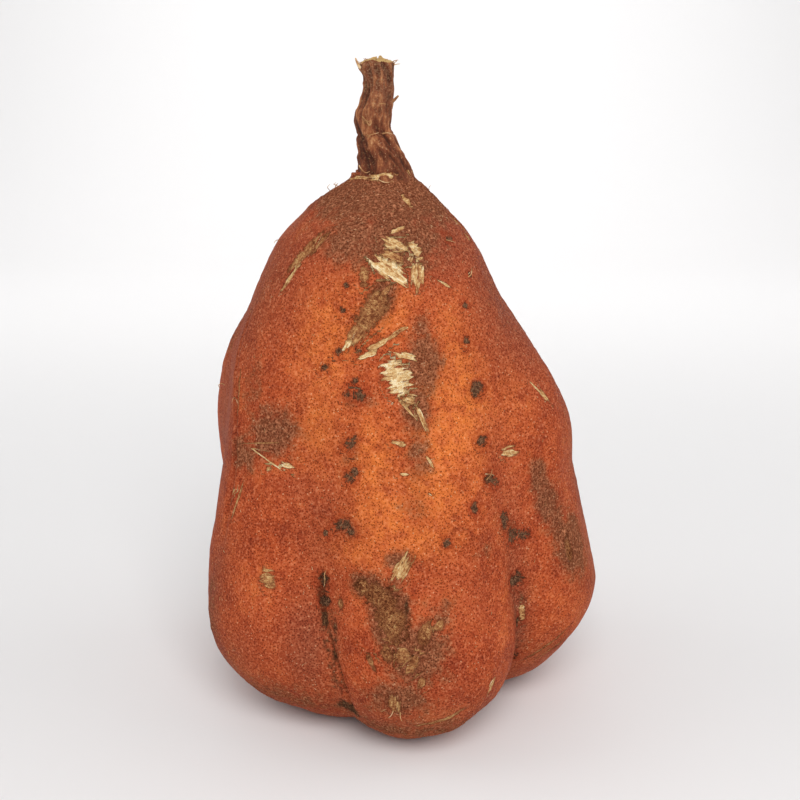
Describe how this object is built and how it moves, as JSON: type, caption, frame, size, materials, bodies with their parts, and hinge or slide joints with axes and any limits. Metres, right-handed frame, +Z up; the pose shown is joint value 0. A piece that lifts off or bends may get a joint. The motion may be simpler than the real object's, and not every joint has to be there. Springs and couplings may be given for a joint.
{
  "type": "sweet potato",
  "caption": "Stout orange-skinned storage root with rounded lobes and creases, standing on its blunt lobed end with a short woody stalk on top",
  "frame": {"origin": "middle of the object's footprint, on the surface it stands on", "axes": "+Z up along the root toward the stalk; -Y toward the front lobe; +X to the right of someone facing the front lobe"},
  "size_m": [0.1183, 0.1149, 0.19],
  "materials": {
    "skin": "matt, porous skin with scurf and scrapes"
  },
  "bodies": {
    "root": {"sweet_potato": "skin"}
  },
  "joints": []
}
